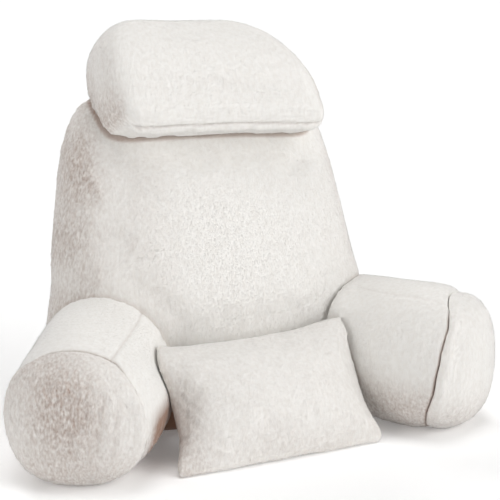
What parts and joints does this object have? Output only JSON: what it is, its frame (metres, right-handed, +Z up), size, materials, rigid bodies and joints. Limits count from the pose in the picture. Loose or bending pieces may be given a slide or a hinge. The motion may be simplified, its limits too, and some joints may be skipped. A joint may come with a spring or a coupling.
{
  "type": "reading pillow with arms",
  "caption": "Filled backrest pillow with bolster arms, a headrest cushion on its top and a loose knife-edged lumbar pillow, in cream plush.",
  "frame": {"origin": "middle of the footprint of the whole part's box, on the surface it rests on", "axes": "+X to the right of someone facing the pillow's front, +Y from the front to the back, +Z up"},
  "size_m": [0.7393, 0.4139, 0.5798],
  "materials": {
    "backrest_plush": "matte short-pile cream plush",
    "arm_plush": "matte short-pile cream plush",
    "arm_end_plush": "matte short-pile cream plush",
    "headrest_plush": "matte short-pile cream plush",
    "lumbar_plush": "matte short-pile cream plush"
  },
  "bodies": {
    "root": {"backrest": "backrest_plush", "arm_left": "arm_plush", "arm_right": "arm_plush", "arm_left_end": "arm_end_plush", "arm_right_end": "arm_end_plush", "headrest": "headrest_plush", "lumbar_pillow": "lumbar_plush"}
  },
  "joints": []
}
